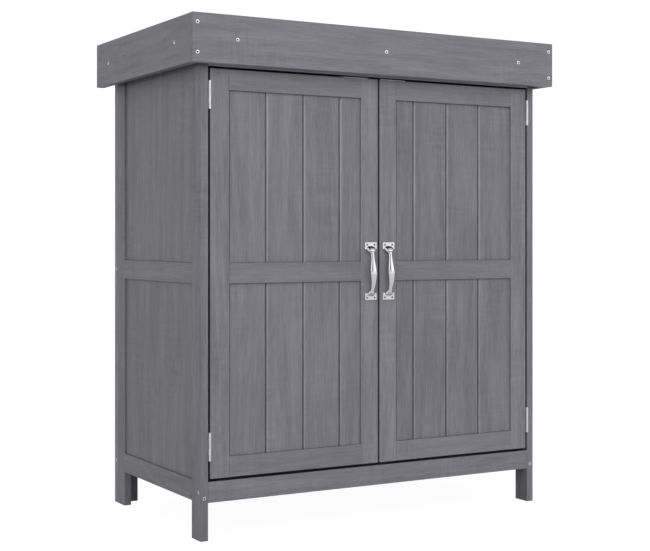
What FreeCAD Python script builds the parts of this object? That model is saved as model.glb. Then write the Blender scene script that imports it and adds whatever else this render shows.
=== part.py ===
# Garden storage cabinet: a stained softwood cupboard on four legs, with two hinged
# doors, a slatted shelf and a flat roof edged on three sides by a deep fascia.
# Millimetres. +Z is up, the doors face -Y, and the origin is on the ground, below
# the middle of the roof.
import FreeCAD, Part
import os

Vector = FreeCAD.Vector

# Overall sizes
cabinet_height = 880.0
roof_width = 754.0
roof_depth = 452.0
side_overhang = 26.0
front_overhang = 26.5
rear_overhang = 28.5

# Roof
fascia_height = 82.0
fascia_thickness = 15.0
deck_thickness = 18.0
deck_board_count = 4
felt_thickness = 2.5
bearer_width = 22.0
bearer_height = 24.0
bearer_clearance = 2.0

# Framed panels
side_thickness = 14.0
front_leg_width = 36.5
rear_leg_width = 31.5
side_recess = 4.0
back_thickness = 18.0
back_stile_width = 40.0
back_recess = 6.0
door_thickness = 16.0
door_stile_width = 35.0
door_recess = 4.5
rail_width = 35.0
side_top_rail_width = 26.0
leg_height = 63.4
mid_rail_height = 447.8
panel_thickness = 7.0
groove_depth = 6.0
groove_clearance = 0.5
edge_chamfer = 0.6

# Tongued and grooved boards
board_pitch = 73.3
door_first_board = 72.6
back_first_board = 56.4
narrowest_board = 20.0
vee_size = 3.0
joint_gap = 0.6
tongue_length = 4.0
tongue_thickness = 2.0
tongue_clearance = 0.15

# Front opening and doors
front_rail_thickness = 18.0
front_top_rail_height = 33.8
hinge_gap = 4.0
meeting_gap = 4.0
door_top_gap = 3.9
door_bottom_gap = 5.0
top_hinge_drop = 45.0
bottom_hinge_rise = 54.0

# Butt hinges
hinge_height = 47.0
knuckle_count = 5
knuckle_radius = 2.2
knuckle_gap = 0.2
knuckle_stand = 2.4
pin_radius = 1.1
pin_clearance = 0.05
pin_head_radius = 1.9
pin_head_height = 0.8
leaf_thickness = 1.1
leaf_depth = 13.0
leaf_screw_spread = 30.0
leaf_screw_inset = 7.5

# Handles
handle_height = 103.4
handle_edge_distance = 16.8
plate_width = 24.6
plate_height = 12.5
plate_thickness = 3.4
plate_corner = 1.2
plate_screw_spread = 15.6
plate_screw_inset = 4.4

# Magnetic catches
catch_distance = 40.0
strike_width = 54.0
strike_height = 14.0
strike_thickness = 1.2
strike_proud = 3.4
strike_screw_spread = 38.0
catch_body_width = 34.0
catch_body_depth = 13.0
catch_height = 15.0
catch_ear_width = 10.0
catch_ear_thickness = 3.0
catch_clearance = 0.2
pole_thickness = 1.5
batten_depth = 24.0
batten_clearance = 3.6

# Floor and shelf
cleat_width = 16.0
cleat_height = 16.0
floor_thickness = 12.0
floor_board_count = 5
floor_board_gap = 4.0
shelf_thickness = 12.0
shelf_board_count = 4
shelf_board_gap = 5.0
shelf_front_space = 34.0
end_clearance = 1.0

# Screws: head radius, head height, shank radius
large_screw = (3.3, 2.8, 1.6)
small_screw = (2.4, 1.4, 1.0)
rim_height = 0.4
frame_screw_bite = 14.0
carcass_screw_length = 34.0
cleat_screw_length = 26.0
fascia_screw_length = 38.0
leaf_screw_length = 10.0
handle_screw_length = 13.0
strike_screw_length = 9.0
catch_screw_length = 15.0
fascia_end_screw = 82.0
fascia_side_screw = 62.0
corner_screw_inset = 16.0
corner_screw_side = 8.6
leg_screw_offset = 9.4
back_screw_heights = (150.0, 400.0, 700.0)

# Places worked out from the sizes
roof_front = -roof_depth / 2
roof_back = roof_depth / 2
body_front = roof_front + front_overhang
body_back = roof_back - rear_overhang
back_inside = body_back - back_thickness
body_width = roof_width - 2 * side_overhang
body_left = -body_width / 2
side_inside = body_left + side_thickness
fascia_bottom = cabinet_height - fascia_height
fascia_middle = cabinet_height - fascia_height / 2
body_top = fascia_middle - deck_thickness / 2
deck_top = body_top + deck_thickness
bottom_rail_top = leg_height + rail_width
bottom_rail_middle = leg_height + rail_width / 2
top_rail_bottom = body_top - rail_width
side_top_rail_bottom = body_top - side_top_rail_width
side_top_rail_middle = body_top - side_top_rail_width / 2
mid_rail_bottom = mid_rail_height - rail_width / 2
mid_rail_top = mid_rail_height + rail_width / 2
opening_top = body_top - front_top_rail_height
door_left = side_inside + hinge_gap
door_right = -meeting_gap / 2
door_width = door_right - door_left
door_bottom = bottom_rail_top + door_bottom_gap
door_top = opening_top - door_top_gap
door_back = body_front + door_thickness
front_rail_back = body_front + front_rail_thickness
floor_bottom = bottom_rail_top - floor_thickness
shelf_bottom = mid_rail_bottom + cleat_height
shelf_front = body_front + door_thickness + shelf_front_space
strike_back = door_back + strike_thickness
strike_top = door_top + strike_proud
catch_front = front_rail_back + catch_clearance
batten_bottom = strike_top + batten_clearance
batten_back = front_rail_back + batten_depth
hinge_x = side_inside + hinge_gap / 2
hinge_y = body_front - knuckle_stand
hinge_heights = (door_top - top_hinge_drop, door_bottom + bottom_hinge_rise)
handle_x = door_right - handle_edge_distance
insert = groove_depth - groove_clearance


def box(x_min, x_max, y_min, y_max, z_min, z_max):
    corner = Vector(x_min, y_min, z_min)
    return Part.makeBox(x_max - x_min, y_max - y_min, z_max - z_min, corner)


def prism(points, along):
    """The solid swept by the outline through the points along a vector."""
    wire = Part.makePolygon(points + [points[0]])
    return Part.Face(wire).extrude(along)


def board(x_min, x_max, y_min, y_max, z_min, z_max, grain, edge=edge_chamfer):
    """A straight piece of timber with its four long edges eased."""
    spans = {"x": (x_min, x_max), "y": (y_min, y_max), "z": (z_min, z_max)}
    across = [name for name in "xyz" if name != grain]
    a_min, a_max = spans[across[0]]
    b_min, b_max = spans[across[1]]
    outline = [
        (a_min + edge, b_min),
        (a_max - edge, b_min),
        (a_max, b_min + edge),
        (a_max, b_max - edge),
        (a_max - edge, b_max),
        (a_min + edge, b_max),
        (a_min, b_max - edge),
        (a_min, b_min + edge),
    ]
    start, end = spans[grain]
    points = []
    for a, b in outline:
        place = {grain: start, across[0]: a, across[1]: b}
        points.append(Vector(place["x"], place["y"], place["z"]))
    along = {"x": 0.0, "y": 0.0, "z": 0.0}
    along[grain] = end - start
    return prism(points, Vector(along["x"], along["y"], along["z"]))


def mirrored(shape):
    """The same piece for the other side of the cabinet."""
    return shape.mirror(Vector(0, 0, 0), Vector(1, 0, 0))


def turned(shape, angle, x, y):
    """A panel piece turned about the upright axis and moved to its wall."""
    copy = shape.copy()
    copy.rotate(Vector(0, 0, 0), Vector(0, 0, 1), angle)
    copy.translate(Vector(x, y, 0))
    return copy


def group(solids):
    return Part.makeCompound(solids)


# A framed panel is drawn flat: x runs across it, its outer face is y = 0, and z is
# the real height. Its stiles and rails are grooved for what they hold.


def frame_stile(x_min, width, bottom, top, thickness, recess, groove_bottom, right_side):
    """An upright, with the groove for rails and panels in its inner edge."""
    stile = board(x_min, x_min + width, 0, thickness, bottom, top, "z")
    inner_edge = x_min if right_side else x_min + width - groove_depth
    groove = box(
        inner_edge,
        inner_edge + groove_depth,
        recess,
        recess + panel_thickness,
        groove_bottom,
        top,
    )
    return stile.cut(groove)


def frame_rail(x_min, x_max, bottom, top, thickness, recess, panel_below, panel_above):
    """A rail with a stub tenon at each end and a groove along each panel edge."""
    rail = board(x_min, x_max, 0, thickness, bottom, top, "x")
    tenon_front = recess
    tenon_back = recess + panel_thickness
    tenon = box(x_min - insert, x_max + insert, tenon_front, tenon_back, bottom, top)
    rail = rail.fuse(tenon)
    if panel_below:
        groove = box(
            x_min - insert, x_max + insert, tenon_front, tenon_back, bottom, bottom + groove_depth
        )
        rail = rail.cut(groove)
    if panel_above:
        groove = box(x_min - insert, x_max + insert, tenon_front, tenon_back, top - groove_depth, top)
        rail = rail.cut(groove)
    return rail.removeSplitter()


def panel_frame(width, stile_widths, thickness, recess, stile_bottom, stile_top, rail_heights):
    """Two stiles and three rails. Each rail height is a pair, bottom and top."""
    left_width, right_width = stile_widths
    rail_left = left_width
    rail_right = width - right_width
    groove_bottom = rail_heights[0][0]
    left = frame_stile(
        0, left_width, stile_bottom, stile_top, thickness, recess, groove_bottom, False
    )
    right = frame_stile(
        rail_right, right_width, stile_bottom, stile_top, thickness, recess, groove_bottom, True
    )
    rails = []
    last = len(rail_heights) - 1
    for index, (bottom, top) in enumerate(rail_heights):
        rails.append(
            frame_rail(rail_left, rail_right, bottom, top, thickness, recess, index > 0, index < last)
        )
    return left, right, rails


def plain_panel(width, stile_widths, recess, below, above):
    """One wide board held in the grooves all round."""
    return box(
        stile_widths[0] - insert,
        width - stile_widths[1] + insert,
        recess,
        recess + panel_thickness,
        below - insert,
        above + insert,
    )


def boarded_panel(width, stile_width, recess, below, above, first_board):
    """Upright boards held edge to edge by tongues, with a vee and a gap at each joint."""
    left = stile_width - insert
    right = width - stile_width + insert
    joints = []
    joint = stile_width + first_board
    while joint < width - stile_width - narrowest_board:
        joints.append(joint)
        joint += board_pitch
    edges = [left] + joints + [right]
    front = recess
    back = recess + panel_thickness
    tongue_front = (front + back - tongue_thickness) / 2 + vee_size / 3
    tongue_back = tongue_front + tongue_thickness
    boards = []
    for index in range(len(edges) - 1):
        start = edges[index]
        end = edges[index + 1]
        if index > 0:
            start += joint_gap
            slot_end = start + tongue_length - joint_gap + tongue_clearance
            slot_front = tongue_front - tongue_clearance
            slot_back = tongue_back + tongue_clearance
            outline = [
                (start, back),
                (start, slot_back),
                (slot_end, slot_back),
                (slot_end, slot_front),
                (start, slot_front),
                (start, front + vee_size),
                (start + vee_size, front),
            ]
        else:
            outline = [(start, back), (start, front)]
        if index < len(edges) - 2:
            outline += [
                (end - vee_size, front),
                (end, front + vee_size),
                (end, tongue_front),
                (end + tongue_length, tongue_front),
                (end + tongue_length, tongue_back),
                (end, tongue_back),
                (end, back),
            ]
        else:
            outline += [(end, front), (end, back)]
        points = [Vector(x, y, below - insert) for x, y in outline]
        boards.append(prism(points, Vector(0, 0, above - below + 2 * insert)))
    return boards


def screw(x, y, z, direction, size, length):
    """A countersunk screw whose head is flush at the given point."""
    head_radius, head_height, shank_radius = size
    tip = 2 * shank_radius
    profile = [
        Vector(0, 0, 0),
        Vector(head_radius, 0, 0),
        Vector(head_radius, 0, rim_height),
        Vector(shank_radius, 0, head_height),
        Vector(shank_radius, 0, length - tip),
        Vector(0, 0, length),
    ]
    wire = Part.makePolygon(profile + [profile[0]])
    solid = Part.Face(wire).revolve(Vector(0, 0, 0), Vector(0, 0, 1), 360)
    turn = FreeCAD.Rotation(Vector(0, 0, 1), Vector(*direction))
    solid.Placement = FreeCAD.Placement(Vector(x, y, z), turn)
    return solid


inward_x = (1, 0, 0)
outward_x = (-1, 0, 0)
inward_y = (0, 1, 0)
forward_y = (0, -1, 0)
upward = (0, 0, 1)


def side_wall():
    """The left wall. Its stiles are the front leg and one half of the rear leg."""
    width = back_inside - body_front
    leg_widths = (rear_leg_width, front_leg_width)
    rails = (
        (leg_height, bottom_rail_top),
        (mid_rail_bottom, mid_rail_top),
        (side_top_rail_bottom, body_top),
    )
    rear, front, frame_rails = panel_frame(
        width, leg_widths, side_thickness, side_recess, 0, body_top, rails
    )
    lower = plain_panel(width, leg_widths, side_recess, bottom_rail_top, mid_rail_bottom)
    upper = plain_panel(width, leg_widths, side_recess, mid_rail_top, side_top_rail_bottom)
    pieces = {
        "rear_leg": rear,
        "front_leg": front,
        "side_bottom_rail": frame_rails[0],
        "side_mid_rail": frame_rails[1],
        "side_top_rail": frame_rails[2],
        "side_lower_panel": lower,
        "side_upper_panel": upper,
    }
    return {name: turned(piece, -90, body_left, back_inside) for name, piece in pieces.items()}


def back_wall():
    """The back covers the ends of both side walls and stands on the ground too."""
    rails = (
        (leg_height, bottom_rail_top),
        (mid_rail_bottom, mid_rail_top),
        (top_rail_bottom, body_top),
    )
    stile_widths = (back_stile_width, back_stile_width)
    right, left, frame_rails = panel_frame(
        body_width, stile_widths, back_thickness, back_recess, 0, body_top, rails
    )
    lower = boarded_panel(
        body_width, back_stile_width, back_recess, bottom_rail_top, mid_rail_bottom, back_first_board
    )
    upper = boarded_panel(
        body_width, back_stile_width, back_recess, mid_rail_top, top_rail_bottom, back_first_board
    )
    pieces = {
        "back_left_stile": left,
        "back_right_stile": right,
        "back_bottom_rail": frame_rails[0],
        "back_mid_rail": frame_rails[1],
        "back_top_rail": frame_rails[2],
        "back_lower_boards": group(lower),
        "back_upper_boards": group(upper),
    }
    return {name: turned(piece, 180, -body_left, body_back) for name, piece in pieces.items()}


def front_rails():
    inside = -side_inside
    bottom = board(
        side_inside, inside, body_front, front_rail_back, leg_height, bottom_rail_top, "x"
    )
    top = board(side_inside, inside, body_front, front_rail_back, opening_top, body_top, "x")
    batten = board(side_inside, inside, front_rail_back, batten_back, batten_bottom, body_top, "x")
    return {"front_bottom_rail": bottom, "front_top_rail": top, "catch_batten": batten}


def board_row(front, back, count, gap, bottom, top, x_min, x_max):
    """Boards that run from side to side, one behind the other."""
    width = (back - front - gap * (count - 1)) / count
    rows = []
    for index in range(count):
        start = front + index * (width + gap)
        rows.append(board(x_min, x_max, start, start + width, bottom, top, "x"))
    return rows


def floor_and_shelf():
    x_min = side_inside + end_clearance
    back = back_inside - end_clearance
    floor_front = front_rail_back + end_clearance
    floor_boards = board_row(
        floor_front, back, floor_board_count, floor_board_gap, floor_bottom, bottom_rail_top, x_min, -x_min
    )
    shelf_top = shelf_bottom + shelf_thickness
    shelf_boards = board_row(
        shelf_front, back, shelf_board_count, shelf_board_gap, shelf_bottom, shelf_top, x_min, -x_min
    )
    cleat_inside = side_inside + cleat_width
    floor_cleat = board(
        side_inside, cleat_inside, floor_front, back, floor_bottom - cleat_height, floor_bottom, "y"
    )
    shelf_cleat = board(
        side_inside, cleat_inside, shelf_front, back, shelf_bottom - cleat_height, shelf_bottom, "y"
    )
    return {
        "floor_boards": group(floor_boards),
        "shelf_boards": group(shelf_boards),
        "floor_cleats": group([floor_cleat, mirrored(floor_cleat)]),
        "shelf_cleats": group([shelf_cleat, mirrored(shelf_cleat)]),
    }


def roof():
    """Boards laid across the body, felted, with the fascia fixed round their edges."""
    inside = roof_width / 2 - fascia_thickness
    deck_front = roof_front + fascia_thickness
    deck_back = roof_back - felt_thickness
    front = board(
        -roof_width / 2, roof_width / 2, roof_front, deck_front, fascia_bottom, cabinet_height, "x"
    )
    left = board(
        -roof_width / 2, -inside, deck_front, roof_back, fascia_bottom, cabinet_height, "y"
    )
    deck = board_row(
        deck_front, deck_back, deck_board_count, 0, body_top, deck_top, -inside, inside
    )
    felt_outline = [
        Vector(-inside, deck_front, deck_top),
        Vector(-inside, deck_back, deck_top),
        Vector(-inside, deck_back, body_top),
        Vector(-inside, roof_back, body_top),
        Vector(-inside, roof_back, deck_top + felt_thickness),
        Vector(-inside, deck_front, deck_top + felt_thickness),
    ]
    felt = prism(felt_outline, Vector(2 * inside, 0, 0))
    bearer = board(
        side_inside,
        side_inside + bearer_width,
        batten_back + bearer_clearance,
        back_inside - bearer_clearance,
        body_top - bearer_height,
        body_top,
        "y",
    )
    return {
        "roof_front_fascia": front,
        "roof_left_fascia": left,
        "roof_right_fascia": mirrored(left),
        "roof_deck_boards": group(deck),
        "roof_felt": felt,
        "roof_bearers": group([bearer, mirrored(bearer)]),
    }


def door_frame():
    """The left door: its stiles, rails and boards, without its ironmongery."""
    rails = (
        (door_bottom, door_bottom + rail_width),
        (mid_rail_bottom, mid_rail_top),
        (door_top - rail_width, door_top),
    )
    stile_widths = (door_stile_width, door_stile_width)
    hinge_stile, meeting_stile, frame_rails = panel_frame(
        door_width, stile_widths, door_thickness, door_recess, door_bottom, door_top, rails
    )
    pieces = {
        "door_hinge_stile": hinge_stile,
        "door_meeting_stile": meeting_stile,
        "door_bottom_rail": frame_rails[0],
        "door_mid_rail": frame_rails[1],
        "door_top_rail": frame_rails[2],
    }
    return {name: turned(piece, 0, door_left, body_front) for name, piece in pieces.items()}


def door_boards():
    lower = boarded_panel(
        door_width,
        door_stile_width,
        door_recess,
        door_bottom + rail_width,
        mid_rail_bottom,
        door_first_board,
    )
    upper = boarded_panel(
        door_width,
        door_stile_width,
        door_recess,
        mid_rail_top,
        door_top - rail_width,
        door_first_board,
    )
    return turned(group(lower + upper), 0, door_left, body_front)


def hinge_leaf(centre, fixed):
    """One leaf of a butt hinge with its share of the rolled knuckles."""
    pitch = (hinge_height + knuckle_gap) / knuckle_count
    bottom = centre - hinge_height / 2
    plate_start = hinge_y + knuckle_radius + knuckle_gap
    plate_end = body_front + leaf_depth
    if fixed:
        plate_left = side_inside
    else:
        plate_left = door_left - leaf_thickness
    plate_right = plate_left + leaf_thickness
    leaf = box(plate_left, plate_right, plate_start, plate_end, bottom, bottom + hinge_height)
    for index in range(0 if fixed else 1, knuckle_count, 2):
        low = bottom + index * pitch
        height = pitch - knuckle_gap
        barrel = Part.makeCylinder(knuckle_radius, height, Vector(hinge_x, hinge_y, low))
        neck = box(plate_left, plate_right, hinge_y, plate_start, low, low + height)
        leaf = leaf.fuse(barrel).fuse(neck)
    bore = Part.makeCylinder(
        pin_radius + pin_clearance, hinge_height, Vector(hinge_x, hinge_y, bottom)
    )
    return leaf.cut(bore).removeSplitter()


def hinge_pin(centre):
    """A round pin whose head sits on the top knuckle."""
    bottom = centre - hinge_height / 2
    top = centre + hinge_height / 2
    pin = Part.makeCylinder(pin_radius, hinge_height, Vector(hinge_x, hinge_y, bottom))
    head = Part.makeCylinder(pin_head_radius, pin_head_height, Vector(hinge_x, hinge_y, top))
    return pin.fuse(head).removeSplitter()


# The grip of the handle, from top to bottom: height as a share of half the handle's,
# how far its middle stands off the door, its width and its thickness there.
grip_stations = (
    (0.875, 2.4, 7.0, 2.2),
    (0.858, 3.2, 12.0, 4.6),
    (0.830, 4.2, 15.5, 7.0),
    (0.790, 4.9, 17.5, 8.4),
    (0.748, 5.1, 18.0, 8.6),
    (0.710, 5.5, 16.3, 8.2),
    (0.673, 6.8, 11.9, 7.5),
    (0.638, 8.0, 8.6, 6.5),
    (0.604, 8.8, 7.0, 5.7),
    (0.560, 9.5, 6.8, 5.3),
    (0.493, 10.2, 7.0, 5.2),
    (0.356, 11.2, 8.3, 5.7),
    (0.218, 12.2, 10.6, 6.5),
    (0.080, 13.0, 12.6, 7.2),
    (-0.058, 13.5, 13.1, 7.4),
    (-0.170, 13.6, 12.4, 6.9),
    (-0.270, 13.4, 10.9, 6.2),
    (-0.370, 12.9, 9.3, 5.6),
    (-0.472, 11.8, 8.0, 5.2),
    (-0.550, 10.5, 7.2, 5.2),
    (-0.611, 9.3, 6.9, 5.6),
    (-0.665, 8.1, 7.5, 6.1),
    (-0.705, 6.6, 9.8, 6.7),
    (-0.740, 5.3, 12.8, 7.2),
    (-0.775, 4.7, 15.0, 7.4),
    (-0.815, 4.0, 15.0, 6.4),
    (-0.848, 3.2, 12.0, 4.6),
    (-0.870, 2.4, 7.0, 2.2),
)


def handle_plate(top):
    """One end plate, flat on the door, with its outer corners rounded."""
    plate = box(
        handle_x - plate_width / 2,
        handle_x + plate_width / 2,
        body_front - plate_thickness,
        body_front,
        top - plate_height,
        top,
    )
    upright_edges = []
    for edge in plate.Edges:
        ends = [vertex.Point for vertex in edge.Vertexes]
        if abs(ends[0].y - ends[1].y) > plate_thickness / 2:
            upright_edges.append(edge)
    return plate.makeFillet(plate_corner, upright_edges)


def handle():
    """A cast pull: two plates joined by a grip that swells towards its middle."""
    sections = []
    for share, stand_off, width, thickness in grip_stations:
        height = mid_rail_height + share * handle_height / 2
        centre = Vector(handle_x, body_front - stand_off, height)
        ellipse = Part.Ellipse(centre, width / 2, thickness / 2)
        sections.append(Part.Wire([ellipse.toShape()]))
    grip = Part.makeLoft(sections, True, False)
    top = mid_rail_height + handle_height / 2
    bottom = mid_rail_height - handle_height / 2
    upper_plate = handle_plate(top)
    lower_plate = handle_plate(bottom + plate_height)
    return upper_plate.fuse([grip, lower_plate]).removeSplitter()


def strike_plate():
    """The steel strip on the back of the door that the magnet holds."""
    return box(
        -catch_distance - strike_width / 2,
        -catch_distance + strike_width / 2,
        door_back,
        strike_back,
        strike_top - strike_height,
        strike_top,
    )


def magnet_catch():
    """A catch body with two ears and the two steel poles that meet the strike."""
    front = catch_front
    back = front + catch_body_depth
    bottom = batten_bottom - catch_height
    half_body = catch_body_width / 2
    half_ears = half_body + catch_ear_width
    body = box(
        -catch_distance - half_body, -catch_distance + half_body, front, back, bottom, batten_bottom
    )
    ears = box(
        -catch_distance - half_ears,
        -catch_distance + half_ears,
        front,
        back,
        batten_bottom - catch_ear_thickness,
        batten_bottom,
    )
    body = body.fuse(ears)
    poles = []
    for level in (bottom + pole_thickness, bottom + catch_height / 2):
        pole = box(
            -catch_distance - half_body + pole_thickness,
            -catch_distance + half_body - pole_thickness,
            strike_back,
            back - pole_thickness,
            level,
            level + pole_thickness,
        )
        body = body.cut(pole)
        poles.append(pole)
    return [body.removeSplitter()] + poles


def wall_screws():
    """Screws of the body, those on the centre line's left and the rest by mirror."""
    rail_middles = (bottom_rail_middle, mid_rail_height, side_top_rail_middle)
    frame_length = back_stile_width + frame_screw_bite
    leg_length = front_leg_width + frame_screw_bite
    side_middle = body_left + side_thickness / 2
    rail_y = body_front + front_rail_thickness / 2
    back_y = body_back - back_thickness / 2
    screws = []
    for height in rail_middles:
        screws.append(screw(body_left, back_y, height, inward_x, large_screw, frame_length))
    for height in (bottom_rail_middle, (opening_top + body_top) / 2):
        screws.append(
            screw(body_left, rail_y, height, inward_x, large_screw, carcass_screw_length)
        )
    for rail_middle in (bottom_rail_middle, side_top_rail_middle):
        height = rail_middle - leg_screw_offset
        screws.append(screw(side_middle, body_front, height, inward_y, large_screw, leg_length))
    for height in back_screw_heights:
        screws.append(
            screw(side_middle, body_back, height, forward_y, large_screw, carcass_screw_length)
        )
    return screws


def cleat_screws():
    """Screws through the cleats and roof bearers into the side walls' rails."""
    cleat_face = side_inside + cleat_width
    bearer_face = side_inside + bearer_width
    back = back_inside - end_clearance
    screws = []
    rows = (
        (cleat_face, floor_bottom - cleat_height / 2, front_rail_back, back),
        (cleat_face, shelf_bottom - cleat_height / 2, shelf_front, back),
        (bearer_face, body_top - bearer_height / 2, batten_back, back),
    )
    for face, height, front, rear in rows:
        quarter = (rear - front) / 4
        for y in (front + quarter, rear - quarter):
            screws.append(screw(face, y, height, outward_x, large_screw, cleat_screw_length))
    return screws


def hinge_screws(fixed):
    """Four screws that hold one door's leaves to the leg, or to the door."""
    screws = []
    y = body_front + leaf_screw_inset
    for centre in hinge_heights:
        for offset in (-leaf_screw_spread / 2, leaf_screw_spread / 2):
            if fixed:
                x = side_inside + leaf_thickness
                direction = outward_x
            else:
                x = door_left - leaf_thickness
                direction = inward_x
            screws.append(screw(x, y, centre + offset, direction, small_screw, leaf_screw_length))
    return screws


def handle_screws():
    face = body_front - plate_thickness
    half = handle_height / 2 - plate_screw_inset
    screws = []
    for height in (mid_rail_height + half, mid_rail_height - half):
        for offset in (-plate_screw_spread / 2, plate_screw_spread / 2):
            screws.append(
                screw(handle_x + offset, face, height, inward_y, small_screw, handle_screw_length)
            )
    return screws


def strike_screws():
    height = strike_top - strike_proud - (strike_height - strike_proud) / 2
    screws = []
    for offset in (-strike_screw_spread / 2, strike_screw_spread / 2):
        x = -catch_distance + offset
        screws.append(
            screw(x, strike_back, height, forward_y, small_screw, strike_screw_length)
        )
    return screws


def catch_screws():
    reach = catch_body_width / 2 + catch_ear_width / 2
    y = catch_front + catch_body_depth / 2
    height = batten_bottom - catch_ear_thickness
    screws = []
    for offset in (-reach, reach):
        screws.append(
            screw(-catch_distance + offset, y, height, upward, small_screw, catch_screw_length)
        )
    return screws


def roof_screws():
    """The fascia's screws: into the deck's edges, and two at each front corner."""
    half_width = roof_width / 2
    corner_x = half_width - corner_screw_side
    side_front = roof_front + fascia_thickness
    front_places = [
        (-half_width + fascia_end_screw, fascia_middle),
        (0, fascia_middle),
        (half_width - fascia_end_screw, fascia_middle),
    ]
    for x in (-corner_x, corner_x):
        front_places.append((x, fascia_bottom + corner_screw_inset))
        front_places.append((x, cabinet_height - corner_screw_inset))
    screws = []
    for x, height in front_places:
        screws.append(screw(x, roof_front, height, inward_y, large_screw, fascia_screw_length))
    for y in (side_front + fascia_side_screw, roof_back - fascia_side_screw):
        left = screw(-half_width, y, fascia_middle, inward_x, large_screw, fascia_screw_length)
        screws.append(left)
        screws.append(mirrored(left))
    return screws


def both_sides(solids):
    return list(solids) + [mirrored(solid) for solid in solids]


def drilled(node, screws):
    """The node with a hole for each screw that enters it."""
    solids = []
    for solid in node.Solids:
        for fastener in screws:
            if solid.BoundBox.intersect(fastener.BoundBox):
                solid = solid.cut(fastener)
        solids += solid.Solids
    return solids[0] if len(solids) == 1 else group(solids)


def add_pair(nodes, pieces):
    """Left pieces under their own names, and mirrored ones for the right."""
    for name, piece in pieces.items():
        nodes["left_" + name] = piece
        nodes["right_" + name] = mirrored(piece)


def build():
    fixed = {}
    add_pair(fixed, side_wall())
    fixed.update(back_wall())
    fixed.update(front_rails())
    fixed.update(floor_and_shelf())
    fixed.update(roof())
    fixed_leaves = [hinge_leaf(centre, True) for centre in hinge_heights]
    fixed["fixed_hinge_leaves"] = group(both_sides(fixed_leaves))
    fixed["magnet_catches"] = group(both_sides(magnet_catch()))

    body_screws = both_sides(
        wall_screws() + cleat_screws() + hinge_screws(True) + catch_screws()
    )
    fascia_screws = roof_screws()
    nodes = {
        name: drilled(piece, body_screws + fascia_screws) for name, piece in fixed.items()
    }
    pins = [hinge_pin(centre) for centre in hinge_heights]
    nodes["hinge_pins"] = group(both_sides(pins))
    nodes["body_screws"] = group(body_screws)
    nodes["roof_screws"] = group(fascia_screws)

    door = door_frame()
    moving_leaves = [hinge_leaf(centre, False) for centre in hinge_heights]
    door["door_hinge_leaves"] = group(moving_leaves)
    door["handle"] = handle()
    door["strike_plate"] = strike_plate()
    door_screws = hinge_screws(False) + handle_screws() + strike_screws()
    door = {name: drilled(piece, door_screws) for name, piece in door.items()}
    door["door_screws"] = group(door_screws)
    door["door_boards"] = door_boards()
    add_pair(nodes, door)
    return nodes


os.makedirs("parts", exist_ok=True)
for name, shape in build().items():
    shape.exportStep(os.path.join("parts", name + ".step"))
    print(name, len(shape.Solids), round(shape.Volume), shape.isValid())
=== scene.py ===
import math

import bpy
from mathutils import Matrix, Vector


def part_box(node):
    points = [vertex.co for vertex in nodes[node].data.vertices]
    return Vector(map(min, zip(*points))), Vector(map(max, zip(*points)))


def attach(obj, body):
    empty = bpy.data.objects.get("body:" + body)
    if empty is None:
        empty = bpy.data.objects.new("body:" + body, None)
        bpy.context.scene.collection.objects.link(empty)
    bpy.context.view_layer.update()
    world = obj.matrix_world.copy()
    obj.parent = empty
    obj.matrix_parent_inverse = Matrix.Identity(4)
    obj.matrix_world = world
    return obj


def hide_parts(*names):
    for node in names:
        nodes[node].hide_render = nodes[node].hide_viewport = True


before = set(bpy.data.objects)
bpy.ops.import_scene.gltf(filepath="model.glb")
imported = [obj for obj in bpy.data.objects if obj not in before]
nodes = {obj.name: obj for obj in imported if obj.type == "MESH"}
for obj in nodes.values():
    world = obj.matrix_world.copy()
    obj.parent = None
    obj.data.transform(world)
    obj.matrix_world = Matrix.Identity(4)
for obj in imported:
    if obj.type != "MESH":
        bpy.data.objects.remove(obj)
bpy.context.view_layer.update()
MM = 0.001

# Camera, fitted to the photograph's edges
CAMERA_PLACE = (-1.277, -2.2327, 0.5096)
CAMERA_YAW = -29.82
CAMERA_REACH = 50.0
FOCAL_PIXELS = 1332.6
PHOTO_WIDTH = 650
PHOTO_HEIGHT = 551
HORIZON_ROW = 236.7
SENSOR_WIDTH = 36.0

# Light. A lobe is (degrees left of the front, degrees up, sharpness, strength). The
# first set lights the surfaces, and the second is what polish reflects.
SURFACE_LOBES = (
    (6.0, 22.0, 8.0, 2.98),
    (56.0, 24.0, 16.0, 2.68),
    (180.0, 25.0, 8.0, 2.3),
    (252.0, 25.0, 8.0, 1.2),
)
SURFACE_BASE = 0.08
GLOSSY_LOBES = (
    (-36.0, 16.0, 11.0, 2.4),
    (70.0, 28.0, 12.0, 2.5),
    (180.0, 12.0, 10.0, 0.7),
)
GLOSSY_BASE = 0.10
GLOSSY_LIMIT = 1.3
STUDIO_TINT = (0.99, 0.99, 1.0, 1.0)
WHITE = (1.0, 1.0, 1.0, 1.0)
BACKDROP_STRENGTH = 1.05

# A ramp is (low, high, result at low, result at high), level beyond both. The first two
# dim the reflected sky near the ground and overhead, and the third is the least it gives.
LOW_SKY = (0.0, 0.15, 0.45, 1.0)
HIGH_SKY = (0.62, 0.86, 1.0, 0.10)
HORIZON = (0.0, 0.30, 0.95, 0.0)

# Floor: half its width, its drop below the feet, what it gives back to the cabinet,
# and how bright and how shaded it is in the picture
FLOOR_REACH = 14.0
FLOOR_DROP = 0.5 * MM
FLOOR_ALBEDO = 0.80
FLOOR_GLOW = 0.06
FLOOR_WHITE = 1.06
FLOOR_SHADOW = 0.10

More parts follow.
